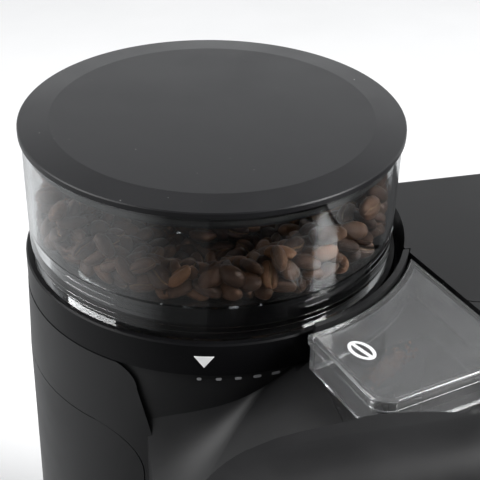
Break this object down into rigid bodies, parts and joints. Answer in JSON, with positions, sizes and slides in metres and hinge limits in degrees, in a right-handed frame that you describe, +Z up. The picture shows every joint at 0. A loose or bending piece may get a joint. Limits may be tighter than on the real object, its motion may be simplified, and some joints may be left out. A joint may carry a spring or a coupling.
{
  "type": "burr coffee grinder",
  "caption": "Countertop conical burr coffee grinder: round tower with clear bean hopper and grind ring, beside a block with a clear-covered chute, grounds drawer and controls.",
  "frame": {"origin": "middle of the object's box, on the table under the feet", "axes": "+X to the right as seen from the front, +Y to the back (the controls face -Y), +Z up"},
  "size_m": [0.2192, 0.2482, 0.29],
  "materials": {
    "shell_black": "fine satin grain, charcoal black",
    "ring_black": "satin black",
    "lid_grey_black": "fine matte grain",
    "clear_plastic": "clear, polished",
    "white_print": "printed ink",
    "grey_print": "printed ink",
    "pale_print": "printed ink",
    "seal_rubber": "soft moulded rubber",
    "foot_rubber": "moulded rubber",
    "gland_black": "moulded strain relief",
    "burr_steel": "hardened, ground teeth",
    "shaft_steel": "turned",
    "screw_steel": "zinc plated",
    "inner_grey": "moulded grey-black",
    "feeder_black": "moulded",
    "gear_white": "moulded acetal",
    "gearbox_grey": "moulded",
    "bush_brass": "sintered",
    "motor_steel": "zinc-grey",
    "magnet_dark": "ferrite",
    "rotor_copper": "wound laminations",
    "board_green": "circuit board",
    "switch_black": "moulded",
    "bin_smoke": "smoky translucent",
    "front_black": "satin black",
    "button_grey": "satin grey",
    "base_black": "moulded black"
  },
  "bodies": {
    "housing": {"front_shell": "shell_black", "rear_shell": "shell_black", "deck_panel": "shell_black", "scale_marks": "grey_print", "grinding_chamber": "inner_grey", "chamber_screws": "screw_steel", "upper_bearing": "bush_brass", "standoffs": "gearbox_grey", "gearbox_base": "gearbox_grey", "gearbox_cover": "gearbox_grey", "gearbox_screws": "screw_steel", "lower_bush": "bush_brass", "idler_pin": "shaft_steel", "motor_can": "motor_steel", "motor_end_cap": "motor_steel", "motor_magnets": "magnet_dark", "motor_isolator": "seal_rubber", "grounds_chute": "inner_grey", "drawer_bay": "inner_grey", "control_board": "board_green", "dose_sensor": "switch_black", "start_switch": "switch_black", "cord_gland": "gland_black", "base_plate": "base_black", "base_screws": "screw_steel", "feet": "foot_rubber"},
    "ring": {"adjust_ring": "ring_black", "pointer_mark": "white_print"},
    "hopper": {"hopper": "clear_plastic"},
    "lid": {"lid": "lid_grey_black", "lid_seal": "seal_rubber"},
    "carrier": {"burr_carrier": "inner_grey", "ring_burr": "burr_steel"},
    "spindle": {"burr_shaft": "shaft_steel", "cone_burr": "burr_steel", "bean_feeder": "feeder_black", "burr_nut": "shaft_steel", "sweeper": "inner_grey", "main_gear": "gear_white"},
    "idler": {"idler_gear": "gear_white"},
    "motor": {"motor_rotor": "rotor_copper", "motor_pinion": "bush_brass"},
    "cover": {"chute_cover": "clear_plastic", "cover_mark": "pale_print"},
    "drawer": {"grounds_bin": "bin_smoke", "bin_front": "front_black"},
    "knob": {"dose_knob": "front_black"},
    "button": {"start_button": "button_grey"}
  },
  "joints": [
    {"name": "ring_turn", "type": "hinge", "parent": "housing", "child": "ring", "pos_m": [-0.0324, 0.0469, 0.226], "axis": [0, 0, 1], "range_deg": [-1.4, 21]},
    {"name": "hopper_lift", "type": "slide", "parent": "ring", "child": "hopper", "axis": [0, 0, 1], "range_m": [0, 0.12]},
    {"name": "lid_lift", "type": "slide", "parent": "hopper", "child": "lid", "axis": [0, 0, 1], "range_m": [0, 0.08]},
    {"name": "carrier_slide", "type": "slide", "parent": "housing", "child": "carrier", "axis": [0, 0, 1], "range_m": [-0.0001, 0.0012]},
    {"name": "burr_spin", "type": "hinge", "parent": "housing", "child": "spindle", "pos_m": [-0.0324, 0.0469, 0.2], "axis": [0, 0, 1], "continuous": true},
    {"name": "idler_spin", "type": "hinge", "parent": "housing", "child": "idler", "pos_m": [-0.06704, 0.0669, 0.165], "axis": [0, 0, 1], "continuous": true},
    {"name": "motor_spin", "type": "hinge", "parent": "housing", "child": "motor", "pos_m": [-0.0375, 0.07211, 0.11], "axis": [0, 0, 1], "continuous": true},
    {"name": "cover_lift", "type": "slide", "parent": "housing", "child": "cover", "axis": [0, 0, 1], "range_m": [0, 0.06]},
    {"name": "drawer_slide", "type": "slide", "parent": "housing", "child": "drawer", "axis": [0, -1, 0], "range_m": [0, 0.11]},
    {"name": "dose_turn", "type": "hinge", "parent": "housing", "child": "knob", "pos_m": [0.0766, -0.1111, 0.168], "axis": [0, -1, 0], "range_deg": [0, 270]},
    {"name": "start_press", "type": "slide", "parent": "housing", "child": "button", "axis": [0, 1, 0], "range_m": [0, 0.0015], "stiffness_N_per_m": 300}
  ],
  "couplings": [
    {"joint": "carrier_slide", "follows": "ring_turn", "m_per_rad": 0.00307},
    {"joint": "idler_spin", "follows": "burr_spin", "ratio": -3.5714},
    {"joint": "motor_spin", "follows": "burr_spin", "ratio": 11.735}
  ]
}
